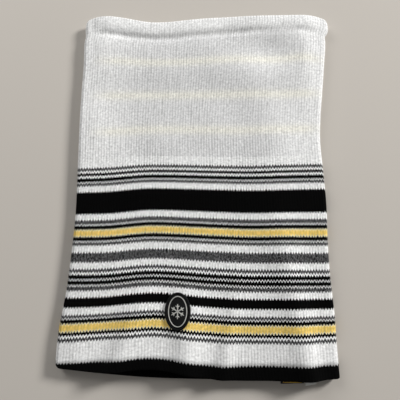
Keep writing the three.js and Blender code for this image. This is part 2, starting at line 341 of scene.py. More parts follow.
def knit_ring(name, profile, per_rib=PER_RIB):
    """Carries a closed wall profile round the tube. Each profile point has its place y and d, the
    way out of the cloth there, how strongly the ribs show, and its course number."""
    rows, cols = len(profile), RIBS * per_rib
    y, d, out_y, out_d, ribs, v = np.array(profile, float).T[:, :, None]
    column = np.arange(cols)
    rib = column // per_rib
    depth = rib_depth(column / cols)[None, :] * RIB_DEPTH * ribs
    sway = RIB_SWAY * np.sin(y * RIB_RATE[rib] + RIB_PHASE[rib])
    frac = (column[None, :] / per_rib + sway) / RIBS
    points = np.stack(place(frac % 1.0, y - out_y * depth, d - out_d * depth), -1).reshape(-1, 3)
    i, j = np.meshgrid(np.arange(rows), np.arange(cols), indexing="ij")
    i2, j2 = (i + 1) % rows, (j + 1) % cols
    faces = np.stack([i * cols + j, i * cols + j2, i2 * cols + j2, i2 * cols + j], -1).reshape(-1, 4)
    u0, u1 = j / per_rib, (j + 1) / per_rib
    v0 = v[i, 0]
    v1 = np.where(i == rows - 1, v0, v[i2, 0])
    corners = [np.stack(uv, -1) for uv in ((u0, v0), (u1, v0), (u1, v1), (u0, v1))]
    return outward(mesh_object(name, points, faces.tolist(), np.stack(corners, 2).reshape(-1, 2)))


def courses(y):
    """Course number at a place along the cloth, counted down from the topmost stripe."""
    return (PATTERN_TOP - y) / COURSE


EDGE_ZONE = 34.0     # this far from a mouth the mesh is finer
BEND = 12.0          # the mesh is finer this far to each side of FOLD_Y
BEND_STEP = 3.0
BAND_RIBS = 0.5      # the ribs are drawn flatter in the bands at the mouths,
BAND_FADE = (160, 166)  # from this far from the middle of the tube on
ROLL_STEPS = 8       # rows of the mesh round a rolled edge
INSIDE_STEP = 4      # and along the cloth that is turned in behind it


def band_ribs(y):
    """How strongly the ribs show at a place along the tube."""
    return 1 - (1 - BAND_RIBS) * float(smooth(*BAND_FADE, abs(y)))


def spaced(start, end, step):
    """Places from start to end, about a step apart; just the start if they are the same."""
    if abs(end - start) < 1e-6:
        return [start]
    count = max(1, round(abs(end - start) / step))
    return [start + (end - start) * s / count for s in range(count + 1)]


def along_tube(start, end, step):
    """Like spaced, but finer where the tube folds in half."""
    rows = [start]
    ends = [y for y in (FOLD_Y - BEND, FOLD_Y + BEND) if min(start, end) < y < max(start, end)]
    ends.sort(key=lambda y: abs(y - start))
    for a, b in zip([start, *ends], [*ends, end]):
        inside = abs((a + b) / 2 - FOLD_Y) < BEND
        rows += spaced(a, b, BEND_STEP if inside else step)[1:]
    return rows


def folded_edge(y_cut, y_mouth, y_end, step, edge_step):
    """Profile of cloth that runs from y_cut to a mouth, rolls over it and ends inside at y_end."""
    out = 1 if y_mouth > y_cut else -1
    turn = y_mouth - out * EDGE_R
    band = turn - out * min(abs(turn - y_cut), EDGE_ZONE)
    # the outside face, the roll and the turned-in face
    rows = [(y, 0, 0, -1, band_ribs(y), courses(y))
            for y in [*along_tube(y_cut, band, step), *spaced(band, turn, edge_step)[1:]]]
    for s in range(1, ROLL_STEPS):
        a = math.pi * s / ROLL_STEPS
        rows.append((turn + out * EDGE_R * math.sin(a), EDGE_R - EDGE_R * math.cos(a),
                     out * math.sin(a), -math.cos(a), BAND_RIBS, courses(turn + out * EDGE_R * a)))
    wrap = turn + out * math.pi * EDGE_R
    inner = max(2, int(abs(turn - y_end) / INSIDE_STEP))
    for s in range(inner + 1):
        y = turn + (y_end - turn) * s / inner
        rows.append((y, 2 * EDGE_R, 0, 1, 1, courses(wrap + out * abs(turn - y))))
    # the hidden faces, back to the start
    for y in spaced(y_end, turn, 2 * edge_step):
        rows.append((y, 2 * EDGE_R - KNIT_T, 0, 0, 0, courses(wrap + out * abs(turn - y))))
    rows.append((turn + out * (EDGE_R - KNIT_T), EDGE_R, 0, 0, 0, courses(wrap)))
    for y in [*spaced(turn, band, 2 * edge_step), *along_tube(band, y_cut, 4 * step)[1:]]:
        rows.append((y, KNIT_T, 0, 0, 0, courses(y)))
    return rows


def plain_layer(y0, y1, outer, step):
    """Profile of one layer of cloth at the depth outer; its ribs show inside."""
    up = [(y, outer, 0, 0, 0) for y in along_tube(y0, y1, step)]
    down = [(y, outer + KNIT_T, 0, 1, 1) for y, *_ in reversed(up)]
    return [(*r, courses(r[0])) for r in up + down]


HEM_CUT = -165.0     # the black hem's cloth and the white cloth meet here, at the seam
HEM_GAP = 0.2        # and end this far from it
HEM_END = -148.0     # the hem is turned in up to here
BAND_Y = 162.0       # the drawn-in line under the top band
BAND_END = 146.0     # the top band is turned in down to here
LINING_D = 2.0       # the lining lies this deep
LINING_GAP = 0.4     # and ends this far from the turned-in cloth

outer_profile = folded_edge(HEM_CUT + HEM_GAP, HALF_LENGTH, BAND_END, step=6.0, edge_step=1.9)
hem_profile = folded_edge(HEM_CUT - HEM_GAP, -HALF_LENGTH, HEM_END, step=2.2, edge_step=1.9)
lining_profile = plain_layer(HEM_END + LINING_GAP, BAND_END - LINING_GAP, LINING_D, step=9)
knit_outer = knit_ring("knit_outer", outer_profile)
knit_hem = knit_ring("knit_hem", hem_profile)
knit_lining = knit_ring("knit_lining", lining_profile, per_rib=2)


# ---- materials ----
def linear(r, g, b):
    """A colour given as 0-255 display values."""
    out = []
    for c in (r, g, b):
        c = c / 255
        out.append(c / 12.92 if c <= 0.04045 else ((c + 0.055) / 1.055) ** 2.4)
    return (*out, 1.0)


class Nodes:
    """Short way to build a material's node tree."""

    def __init__(self, name, roughness, sheen=0.0, specular=0.5):
        self.material = bpy.data.materials.new(name)
        self.material.use_nodes = True
        self.tree = self.material.node_tree
        self.shader = self.tree.nodes["Principled BSDF"]
        looks = {"Roughness": roughness, "Sheen Weight": sheen, "Specular IOR Level": specular}
        self.fill(self.shader, **looks)

    def put(self, socket, value):
        if hasattr(value, "is_output"):
            self.tree.links.new(value, socket)
        else:
            socket.default_value = value

    def fill(self, node, **inputs):
        """Sets a node's inputs to numbers, colours or other nodes' outputs."""
        for name, value in inputs.items():
            self.put(node.inputs[name], value)

    def math(self, operation, a, b=None, c=None, clamp=False):
        node = self.tree.nodes.new("ShaderNodeMath")
        node.operation = operation
        node.use_clamp = clamp
        for socket, value in zip(node.inputs, (a, b, c)):
            if value is not None:
                self.put(socket, value)
        return node.outputs[0]

    def plus(self, a, b):
        return self.math("ADD", a, b)

    def minus(self, a, b):
        return self.math("SUBTRACT", a, b)

    def times(self, *values):
        product = values[0]
        for value in values[1:]:
            product = self.math("MULTIPLY", product, value)
        return product

    def scaled(self, a, factor, offset, clamp=False):
        """a times factor, plus offset, kept between 0 and 1 if clamp is set."""
        return self.math("MULTIPLY_ADD", a, factor, offset, clamp)

    def above(self, a, start, slope):
        """0 up to start, then rising by slope up to 1."""
        return self.scaled(self.minus(a, start), slope, 0.0, clamp=True)

    def capped(self, a, soft):
        """a, but no more than 1, with a soft corner there."""
        return self.math("SMOOTH_MIN", a, 1.0, soft)

    def mix(self, factor, a, b, blend="MIX"):
        node = self.tree.nodes.new("ShaderNodeMix")
        node.data_type = "RGBA"
        node.blend_type = blend
        self.fill(node, Factor=factor, A=a, B=b)
        return node.outputs["Result"]

    def dimmed(self, colour, share):
        """The colour at a share of its brightness."""
        return self.mix(1.0, colour, self.point(share, share, share), "MULTIPLY")

    def split(self, vector):
        node = self.tree.nodes.new("ShaderNodeSeparateXYZ")
        self.put(node.inputs[0], vector)
        return node.outputs[0], node.outputs[1]

    def uv(self, name="Knit"):
        node = self.tree.nodes.new("ShaderNodeUVMap")
        node.uv_map = name
        return self.split(node.outputs[0])

    def point(self, x, y, z=0.0):
        node = self.tree.nodes.new("ShaderNodeCombineXYZ")
        for socket, value in zip(node.inputs, (x, y, z)):
            self.put(socket, value)
        return node.outputs[0]

    def noise(self, vector, scale, detail, roughness):
        node = self.tree.nodes.new("ShaderNodeTexNoise")
        self.fill(node, Vector=vector, Scale=scale, Detail=detail, Roughness=roughness)
        return node.outputs[0]

    def knit_noise(self, u, v, pattern):
        """Noise on the cloth, with one of the patterns below."""
        per_rib, per_course, detail, roughness = pattern
        vector = self.point(self.times(u, per_rib), self.times(v, per_course))
        return self.noise(vector, 1.0, detail, roughness)

    def place(self):
        return self.tree.nodes.new("ShaderNodeTexCoord").outputs["Object"]

    def ramp(self, factor, stops):
        """Colour and alpha that jump from stop to stop."""
        node = self.tree.nodes.new("ShaderNodeValToRGB")
        node.color_ramp.interpolation = "CONSTANT"
        elements = node.color_ramp.elements
        while len(elements) > 1:
            elements.remove(elements[-1])
        elements[0].position, elements[0].color = stops[0]
        for position, colour in stops[1:]:
            elements.new(position).color = colour
        self.put(node.inputs[0], factor)
        return node.outputs["Color"], node.outputs["Alpha"]

    def bump(self, height, distance_mm, strength):
        node = self.tree.nodes.new("ShaderNodeBump")
        self.fill(node, Strength=strength, Distance=distance_mm * MM, Height=height)
        self.tree.links.new(node.outputs[0], self.shader.inputs["Normal"])

    def colour(self, value):
        self.put(self.shader.inputs["Base Color"], value)


def yarn(colour, melange=0.0):
    """A yarn's colour; the fourth number is 1 where it is a grey melange."""
    return (*colour[:3], melange)


WHITE = yarn(linear(243, 243, 242))
BLACK = yarn(linear(6, 6, 6))
GREY = yarn(linear(46, 46, 47), 1.0)
YELLOW = yarn(linear(238, 206, 114))
PALE = yarn(linear(244, 236, 204))

# Dark yarn swells over its white neighbours, so its stripes take part of their courses.
GREY_LINE, WHITE_LINE, BLACK_LINE, PALE_LINE = (GREY, 3.5), (WHITE, 1.3), (BLACK, 3.75), (PALE, 1.0)
THIN_SET = [GREY_LINE, WHITE_LINE, BLACK_LINE, WHITE_LINE, BLACK_LINE, WHITE_LINE, GREY_LINE]
YELLOW_SET = [GREY_LINE, WHITE_LINE, BLACK_LINE, PALE_LINE, (YELLOW, 5.2), PALE_LINE, BLACK_LINE,
              WHITE_LINE, GREY_LINE]
# From the topmost stripe down to the black hem, in courses.
STRIPES = [
    *THIN_SET, (WHITE, 5.9), (BLACK, 21), (WHITE, 6.2),
    *YELLOW_SET, (WHITE, 6.3), (GREY, 8.3), (WHITE, 6.25),
    *THIN_SET, (WHITE, 6.4), (BLACK, 9), (WHITE, 6.25),
    *YELLOW_SET, (WHITE, 19), (BLACK, 60),
]
LINING_STRIPES = [(WHITE, 18), *[(YELLOW, 6), (WHITE, 31)] * 4]
WHITE_ABOVE = 12.0   # courses of white before the topmost stripe, for the ramp to start with
RAMP_STOPS = 32      # a colour ramp holds no more stops

# Courses where the lining's yellow stripes lie behind the white half.
SHOW_THROUGH = (-109.5, -72.4, -35.4)
SHOW_WIDTH = 5.0
WHITE_END = -8.0     # the white half ends at this course
# painted shade: the grey that the white half takes towards the middle of each face
PAINTED_SHADE_GREY = linear(220, 220, 220)
LINED_YELLOW = linear(252, 249, 234)
SHOW_AND_SHADE_FROM = (0.01, 10.0)        # share of the tube's width where the yellow show-through and the painted shade set in, and how fast, and where the painted shade grows to its full grey
PAINTED_SHADE_FROM = (0.06, 5.0)   # and where it lies close behind the cloth
PAINTED_SHADE_SHARE = 0.8
LINED_YELLOWS = 0.6

VEE = 4.4            # how far a stitch's arms rise over a whole rib's width, in courses
YARN_WANDERS = 1.3   # in courses
RIDGE_FULL = 2.2     # the higher, the narrower the furrow between two courses
DIP_STEEP = 7.0      # of the dip along a rib's middle,
GROOVE_STEEP = 3.6   # and of the groove between two ribs
# Noises: how often they change for each rib and for each course, detail and roughness.
WANDER = (1.53, 1.19, 3.0, 0.6)
FIBRE = (6.0, 2.4, 4.0, 0.65)
TENSION = (0.62, 0.16, 2.0, 0.6)
STITCH = (1.15, 0.52, 1.0, 0.5)
MELANGE = (1.8, 0.9, 3.0, 0.7)
SLACK = (0.06, 0.022, 2.0, 0.5)
MELANGE_DARK = linear(4, 4, 5)
MELANGE_LIGHT = linear(122, 122, 123)
MELANGE_SHARE = 0.85
MELANGE_CONTRAST, MELANGE_LIGHTER = 12.0, 0.38
SLACK_FROM = (0.36, 1.5)
GROOVE_SHADE, SLACK_GROOVE_SHADE = 0.13, 0.5      # painted shade in a groove, and more of it where the stitches are slack
# painted shade in the furrow between two courses
FURROW_SHADE = 0.2
FIBRE_DARK, FIBRE_RANGE = 0.86, 0.36
TENSION_RANGE, STITCH_RANGE = 0.4, 0.75
RELIEF_MM, RELIEF_STRENGTH = 0.18, 0.8
STITCH_RELIEF, FIBRE_RELIEF, DIP_RELIEF = 0.7, 0.45, 0.25


def stripe_colour(n, vee, stripes):
    """Colour and share of melange at each place, from the stripes."""
    total = WHITE_ABOVE + sum(count for _, count in stripes)
    stops, at = [(0.0, WHITE)], WHITE_ABOVE
    for colour, count in stripes:
        stops.append((at / total, colour))
        at += count
    where = n.math("DIVIDE", n.plus(vee, WHITE_ABOVE - VEE / 4), total)
    if len(stops) <= RAMP_STOPS:
        return n.ramp(where, stops)
    cut = len(stripes) // 2 - 1
    first, first_melange = n.ramp(where, stops[:cut + 1])
    second, second_melange = n.ramp(where, stops[cut:])
    switch = n.math("GREATER_THAN", where, stops[cut][0])
    melange = n.plus(n.times(first_melange, n.minus(1.0, switch)), n.times(second_melange, switch))
    return n.mix(switch, first, second), melange


def with_show_through_and_shade(n, colour, u, v):
    """Painted shade greys the white half's middle; the lining's yellow courses show faintly through."""
    yellow = 0.0
    for at_course in SHOW_THROUGH:
        near = n.math("DIVIDE", n.minus(v, at_course), SHOW_WIDTH)
        yellow = n.plus(yellow, n.math("EXPONENT", n.times(near, near, -1.0)))
    # the show-through and the painted shade fade out towards the side folds, so these stay whiter
    turn = n.math("FRACT", n.math("DIVIDE", u, RIBS / 2))
    from_fold = n.minus(0.5, n.math("ABSOLUTE", n.minus(turn, 0.5)))
    show_through_and_shade = n.times(n.math("LESS_THAN", v, WHITE_END), n.above(from_fold, *SHOW_AND_SHADE_FROM),
                    n.math("GREATER_THAN", v, courses(BAND_Y)))
    # painted shade: grey laid on the white half, strongest away from the side folds
    close = n.times(show_through_and_shade, n.above(from_fold, *PAINTED_SHADE_FROM))
    colour = n.mix(n.times(close, PAINTED_SHADE_SHARE), colour, PAINTED_SHADE_GREY)
    return n.mix(n.times(yellow, show_through_and_shade, LINED_YELLOWS), colour, LINED_YELLOW)


def knit_material(name, kind):
    """Rib knit. kind is outer, hem or lining."""
    n = Nodes(name, 0.95, sheen=0.01, specular=0.03)
    u, v = n.uv()
    arm = n.math("ABSOLUTE", n.minus(n.math("FRACT", u), 0.5))
    # wandering of the yarn, so that no two stitches are alike
    wander = n.times(n.minus(n.knit_noise(u, v, WANDER), 0.5), YARN_WANDERS)
    # stitches are Vs: the arms rise from the middle of a rib to its sides
    vee = n.plus(n.plus(v, n.times(arm, VEE)), wander)
    off_ridge = n.math("ABSOLUTE", n.minus(n.times(n.math("FRACT", vee), 2.0), 1.0))
    ridge = n.minus(1.0, n.math("POWER", off_ridge, RIDGE_FULL))
    centre_dip = n.capped(n.times(arm, DIP_STEEP), 0.3)
    groove = n.capped(n.times(n.minus(0.5, arm), GROOVE_STEEP), 0.3)
    fibre = n.knit_noise(u, vee, FIBRE)
    if kind == "hem":
        colour = BLACK
    else:
        colour, melange = stripe_colour(n, vee, STRIPES if kind == "outer" else LINING_STRIPES)
        # grey melange: dark and light fibres side by side
        fleck = n.minus(n.knit_noise(u, vee, MELANGE), 0.5)
        fleck = n.scaled(fleck, MELANGE_CONTRAST, MELANGE_LIGHTER, clamp=True)
        colour = n.mix(n.times(melange, MELANGE_SHARE), colour, n.mix(fleck, MELANGE_DARK, MELANGE_LIGHT))
    if kind == "outer":
        colour = with_show_through_and_shade(n, colour, u, v)
    # painted shade in the grooves between ribs, and more of it where slack stitches open them
    slack = n.above(n.knit_noise(u, v, SLACK), *SLACK_FROM)
    groove_shade = n.times(n.minus(1.0, groove), n.scaled(slack, SLACK_GROOVE_SHADE, GROOVE_SHADE))
    dim = n.times(
        # painted shade in the furrows between courses and in the grooves, then random tone of fibres,
        # tension and stitches
        n.scaled(ridge, FURROW_SHADE, 1.0 - FURROW_SHADE),
        n.minus(1.0, groove_shade),
        n.scaled(fibre, FIBRE_RANGE, FIBRE_DARK),
        n.scaled(n.minus(n.knit_noise(u, v, TENSION), 0.5), TENSION_RANGE, 1.0),
        n.scaled(n.minus(n.knit_noise(u, v, STITCH), 0.5), STITCH_RANGE, 1.0),
    )
    n.colour(n.dimmed(colour, dim))
    height = n.plus(n.times(ridge, groove, STITCH_RELIEF), n.times(fibre, FIBRE_RELIEF))
    n.bump(n.plus(height, n.times(centre_dip, DIP_RELIEF)), RELIEF_MM, RELIEF_STRENGTH)
    return n.material


def finished(obj, material, slot_name, body, *nodes):
    """Gives a piece its looks, hides the CAD nodes that it stands for and hangs it on the body that it
    rides on. With no body it crosses the line where the tube folds in half, and its placement is baked into
    its mesh."""
    obj.data.materials.clear()
    obj.data.materials.append(material)
    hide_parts(*nodes)
    if body:
        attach(obj, body)
    else:
        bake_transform(obj)
    return obj


finished(knit_outer, knit_material("rib_knit_striped", "outer"), "striped_knit", None,
         "shell_lower", "shell_upper", "top_band")
finished(knit_hem, knit_material("rib_knit_black", "hem"), "black_knit", "lower_half", "hem_band")
finished(knit_lining, knit_material("rib_knit_lining", "lining"), "lining_knit", None,
         "lining_lower", "lining_upper")


# ---- small pieces: threads, badge, labels ----
def tube(path, radius, sides=6, closed=False):
    """Points and faces of a thread of the given radius along a path."""
    path = np.asarray(path, float)
    n = len(path)
    if closed:
        along = np.roll(path, -1, 0) - np.roll(path, 1, 0)
    else:
        along = np.vstack([path[1:], path[-1:]]) - np.vstack([path[:1], path[:-1]])
    along /= np.linalg.norm(along, axis=1, keepdims=True)
    side = np.cross(along, [0.0, 0.0, 1.0])
    side /= np.linalg.norm(side, axis=1, keepdims=True)
    up = np.cross(side, along)
    turns = (np.arange(sides) * 2 * math.pi / sides)[None, :, None]
    ring = np.cos(turns) * side[:, None] + np.sin(turns) * up[:, None]
    faces = bridged(n, sides, closed)
    if not closed:
        faces += end_caps(n, sides)
    return (path[:, None] + radius * ring).reshape(-1, 3), faces


def bridged(count, sides, closed):
    """Faces between rings of points that follow each other, round again if closed."""
    faces = []
    for i in range(count if closed else count - 1):
        a, b = i * sides, ((i + 1) % count) * sides
        for k in range(sides):
            m = (k + 1) % sides
            faces.append((a + k, a + m, b + m, b + k))
    return faces


def end_caps(count, sides):
    """Faces that close the first and the last ring."""
    last = (count - 1) * sides
    return [tuple(range(sides - 1, -1, -1)), tuple(last + k for k in range(sides))]


def gather(parts):
    """Joins several (points, faces) into one."""
    points, faces, base = [], [], 0
    for p, f in parts:
        points.append(np.asarray(p, float))
        faces += [tuple(base + k for k in face) for face in f]
        base += len(p)
    return np.vstack(points), faces


def piece(name, parts, material, slot_name, body, *nodes):
    """A finished piece made of (points, faces) parts."""
    obj = outward(mesh_object(name, *gather(parts)))
    return finished(obj, material, slot_name, body, *nodes)


WAVE_PERIOD = math.pi / 5        # how far apart a wave texture's bands are at scale 1, along an axis


def thread_material(name, colour, twist_mm=1.146, roughness=0.55, sheen=0.1):
    """Twisted sewing or embroidery thread."""
    n = Nodes(name, roughness, sheen=sheen, specular=0.2)
    wave = n.tree.nodes.new("ShaderNodeTexWave")
    wave.wave_type = "BANDS"
    wave.bands_direction = "DIAGONAL"
    n.fill(wave, Vector=n.place(), Scale=WAVE_PERIOD / (twist_mm * MM), Distortion=1.5)
    twist = wave.outputs["Fac"]
    fibre = n.noise(n.place(), 2600, 3.0, 0.6)
    # painted shade: the thread is darker in the grooves between its twists, where its relief is low; the
    # fibre noise is its own tone
    n.colour(n.dimmed(colour, n.times(n.scaled(twist, 0.3, 0.7), n.scaled(fibre, 0.4, 0.78))))
    n.bump(n.plus(twist, n.times(fibre, 0.5)), distance_mm=0.12, strength=0.7)
    return n.material


BLACK_THREAD = thread_material("thread_black", linear(7, 7, 8), roughness=0.8, sheen=0.02)
WHITE_THREAD = thread_material("thread_white", linear(226, 226, 222))
PALE_THREAD = thread_material("thread_pale", linear(206, 206, 200), twist_mm=0.764, roughness=0.45)
YELLOW_THREAD = thread_material("thread_yellow", linear(226, 182, 74), twist_mm=0.764, roughness=0.45)

SEAM_D = 2.0         # the seams at the hem and the band lie this deep
SEAM_THREAD_R = 0.3
SEAM_ZIGZAG = 0.6
SEAM_POINTS = 4      # points of the thread's path for each rib


def seam_ring(y):
    """A thread that zigzags round the tube, one tooth for each rib."""
    count = RIBS * SEAM_POINTS
    frac = (np.arange(count) + 0.5) / count
    path = place(frac, y + SEAM_ZIGZAG * np.sin(frac * RIBS * 2 * math.pi), np.full(count, SEAM_D))
    return tube(np.stack(path, 1), SEAM_THREAD_R, closed=True)


piece("hem_seam_thread", [seam_ring(HEM_CUT)], BLACK_THREAD, "black_thread", "lower_half", "hem_seam")
piece("top_seam_thread", [seam_ring(BAND_Y)], WHITE_THREAD, "white_thread", "upper_half", "top_seam")

CLOSING_ENDS = (-163, 160)
CLOSING_STEP = 0.65
CLOSING_TOOTH = 2.6  # length of a tooth of the zigzag
CLOSING_WIDE = 0.9   # to each side
CLOSING_HIGH = 0.42  # the thread's middle above the back's lowest point,
CLOSING_CROSS = 0.16  # and how far it goes up and down where the two cross
CLOSING_THREAD_R = 0.22


def closing_seam():
    """Two crossing zigzags of thread along the back, as an overlock leaves them."""
    parts = []
    y = np.arange(*CLOSING_ENDS, CLOSING_STEP)
    turn = y * 2 * math.pi / CLOSING_TOOTH
    for side in (-1, 1):
        x = SEAM_X + side * CLOSING_WIDE * np.sin(turn)
        z = BACK_Z + CLOSING_HIGH + side * CLOSING_CROSS * np.cos(turn)
        parts.append(tube(np.stack([x, y, z], 1), CLOSING_THREAD_R))
    return parts


piece("back_seam_thread", closing_seam(), WHITE_THREAD, "white_thread", None,
      "back_seam_lower", "back_seam_upper")


def front_z(x, y):
    """Height of the front layer's crests at a finished place."""
    flat = y - shift(FRONT_SHIFT, x, y)
    flat = y - shift(FRONT_SHIFT, x, flat)
    return front_height(x, flat, *middle_and_half(flat)) + BACK_Z


BADGE = (-20.4, -117.6)
BADGE_RX, BADGE_RY = 12.0, 17.0
BADGE_CLEAR = 0.05   # between the badge and the crests under it
BORDER_W, BORDER_T = 2.1, 1.9
GROUND_T = 0.95
LINE_IN = 1.5        # the pale oval line's middle lies this far inside the border
LINE_SUNK = 0.1
STITCH_W = 0.9       # the ground's stitches stand in upright rows,
STITCH_HIGH = 0.06
STAGGER_LONG = 2.4   # and their ends make a fainter slanting pattern
STAGGER_HIGH = 0.04
STAGGER_SLANT = 3
PAD_EDGE = 0.15      # the ground's top is this much lower at its edge
PAD_RINGS, PAD_AROUND = 26, 120
THREAD_W = 0.45      # of the embroidery's threads
THREAD_STAGGER = 0.37  # each is shifted by this share of a stitch from the one before


def laid_on(points):
    """Puts badge points, given round its centre with z above the cloth, on the front layer."""
    points = np.array(points, float)
    points[:, :2] += BADGE
    points[:, 2] += front_z(points[:, 0], points[:, 1]) + BADGE_CLEAR
    return points


def oval_cord(rx, ry, half_w, base, height, wraps, slant, depth):
    """A cord of thread wound round an oval: half round, with slanting ridges."""
    per_wrap, sides = 5, 10
    count = wraps * per_wrap
    points = []
    for i in range(count):
        a = 2 * math.pi * i / count
        for k in range(sides):
            t = math.pi * k / (sides - 1)
            ridge = depth * math.cos(wraps * a + slant * math.cos(t))
            across = half_w * math.cos(t) * (1 + 0.4 * ridge)
            up = base + height * math.sin(t) * (1 + ridge) if 0 < k < sides - 1 else base
            points.append(((rx + across) * math.cos(a), (ry + across) * math.sin(a), up))
    return laid_on(points), bridged(count, sides, closed=True)


def oval_pad(rx, ry, base, top):
    """A padded oval closed below, its top stitched in upright rows."""
    turns = [2 * math.pi * i / PAD_AROUND for i in range(PAD_AROUND)]
    points = [(0, 0, top)]
    for r in range(1, PAD_RINGS + 1):
        t = r / PAD_RINGS
        for a in turns:
            x, y = rx * t * math.cos(a), ry * t * math.sin(a)
            rows = STITCH_HIGH * math.cos(x * 2 * math.pi / STITCH_W)
            rows += STAGGER_HIGH * math.cos(y * 2 * math.pi / STAGGER_LONG + x * STAGGER_SLANT)
            points.append((x, y, top + rows if r < PAD_RINGS else top - PAD_EDGE))
    low = len(points)
    points += [(rx * math.cos(a), ry * math.sin(a), base) for a in turns]
    points.append((0, 0, base))
    faces = []
    for i in range(PAD_AROUND):
        j = (i + 1) % PAD_AROUND
        faces.append((0, 1 + i, 1 + j))
        faces.append((low + i, len(points) - 1, low + j))
        for r in range(PAD_RINGS):
            a, b = 1 + r * PAD_AROUND, 1 + (r + 1) * PAD_AROUND
            faces.append((a + i, b + i, b + j, a + j))
    return laid_on(points), faces


def embroidery(name, base):
    """Close satin stitches, seen as fine upright threads."""
    n = Nodes(name, 0.7, sheen=0.02, specular=0.18)
    x, y = n.split(n.place())
    x = n.times(x, 1 / (THREAD_W * MM))
    y = n.times(y, 1 / (STAGGER_LONG * MM))
    stagger = n.math("FRACT", n.plus(y, n.times(n.math("FLOOR", x), THREAD_STAGGER)))
    thread = n.math("SINE", n.times(n.math("FRACT", x), math.pi))
    end = n.capped(n.times(n.math("MINIMUM", stagger, n.minus(1.0, stagger)), 8.0), 0.2)
    height = n.times(thread, end)
    fleck = n.noise(n.place(), 900, 2.0, 0.6)
    # painted shade: darker between the threads and at the stitches' ends, where the relief is low; the
    # flecks are the yarn's own tone
    n.colour(n.dimmed(base, n.times(n.scaled(height, 0.5, 0.5), n.scaled(fleck, 0.6, 0.7))))
    n.bump(height, distance_mm=0.18, strength=0.8)
    return n.material


half_border = BORDER_W / 2
border = oval_cord(BADGE_RX - half_border, BADGE_RY - half_border, half_border, base=0.0, height=BORDER_T,
                   wraps=118, slant=0.9, depth=0.13)
piece("badge_overlocked_border", [border], BLACK_THREAD, "black_thread", "lower_half", "badge_border")
ground_rx, ground_ry = BADGE_RX - BORDER_W, BADGE_RY - BORDER_W
piece("badge_embroidered_ground", [oval_pad(ground_rx, ground_ry, base=0.0, top=GROUND_T)],
      embroidery("badge_ground", linear(9, 9, 10)), "badge_cloth", "lower_half", "badge_backing")
line = oval_cord(ground_rx - LINE_IN, ground_ry - LINE_IN, half_w=0.42, base=GROUND_T - LINE_SUNK,
                 height=0.55, wraps=96, slant=1.2, depth=0.16)
piece("badge_oval_line", [line], PALE_THREAD, "pale_thread", "lower_half", "badge_line")

BAR_ROUND = 0.22     # how blunt a bar's ends are; 0 would be square


def bar(x0, y0, x1, y1, half_w, base, height, segments=10, sides=9):
    """A satin-stitched bar: half round, with rounded ends."""
    a, b = np.array([x0, y0]), np.array([x1, y1])
    along = (b - a) / np.linalg.norm(b - a)
    across = np.array([-along[1], along[0]])
    points = []
    for i in range(segments + 1):
        t = i / segments
        narrow = math.sin(math.pi * min(max(t, 0.02), 0.98)) ** BAR_ROUND
        for k in range(sides):
            turn = math.pi * k / (sides - 1)
            flat = a + (b - a) * t + across * half_w * math.cos(turn) * narrow
            points.append((*flat, base + height * math.sin(turn) * narrow))
    return np.array(points), bridged(segments + 1, sides, closed=False) + end_caps(segments + 1, sides)


ARM_FROM = 0.25      # the arms start this far from the middle
TWIG_AT, TWIG_LONG = 0.55, 0.34          # shares of an arm
TWIG_TURN = math.pi / 3.4


def snowflake(arm, half_w, base, height):
    """Six arms, each with two side twigs."""
    parts = []
    for k in range(6):
        a = math.pi / 3 * k + math.pi / 2
        c, s = math.cos(a), math.sin(a)
        parts.append(bar(ARM_FROM * c, ARM_FROM * s, arm * c, arm * s, half_w, base, height))
        x, y = arm * TWIG_AT * c, arm * TWIG_AT * s
        for b in (a - TWIG_TURN, a + TWIG_TURN):
            end_x, end_y = x + arm * TWIG_LONG * math.cos(b), y + arm * TWIG_LONG * math.sin(b)
            parts.append(bar(x, y, end_x, end_y, half_w * 0.8, base, height * 0.9, segments=7))
    return parts


def fused(name, parts, voxel, place_points):
    """Joins overlapping closed parts into one skin, then moves its points into place."""
    obj = mesh_object(name, *gather(parts))
    remesh = obj.modifiers.new("join", "REMESH")
    remesh.mode = "VOXEL"
    remesh.voxel_size = voxel * MM
    done = bpy.data.meshes.new_from_object(obj.evaluated_get(bpy.context.evaluated_depsgraph_get()))
    obj.modifiers.clear()
    obj.data = done
    done.vertices.foreach_set("co", (place_points(points_of(done) / MM) * MM).ravel())
    done.polygons.foreach_set("use_smooth", np.ones(len(done.polygons), bool))
    done.update()
    return outward(obj)


flake = snowflake(arm=6.7, half_w=0.56, base=0.75, height=0.75)
motif = fused("badge_snowflake", flake, voxel=0.14, place_points=laid_on)
finished(motif, PALE_THREAD, "pale_thread", "lower_half", "badge_motif")

# labels sewn to the lining inside the bottom mouth
LABEL_ROOT = -148.3  # their sewn ends
LABEL_T = 0.4
LABEL_ON_LINING = 3.75  # their undersides on the lining, above the back's lowest point,
LABEL_STEP = 0.42    # and how much higher they lie on the hem's turned-in cloth
LABEL_OVER_HEM = -151.5
LABEL_BENDS = -177.5  # past this line they bend down over the mouth,
LABEL_BEND = 0.056   # this much in the first millimetre and ever more after it
LABEL_WAVE = 0.12


def label_z(x, y):
    """Height of a label's underside: on the lining, over the hem's turned-in cloth and out."""
    z = BACK_Z + LABEL_ON_LINING + LABEL_STEP * smooth(LABEL_ROOT, LABEL_OVER_HEM, y)
    z = z - LABEL_BEND * np.clip(LABEL_BENDS - y, 0, None) ** 1.5
    return z + LABEL_WAVE * np.sin(x * 0.35 + y * 0.11)


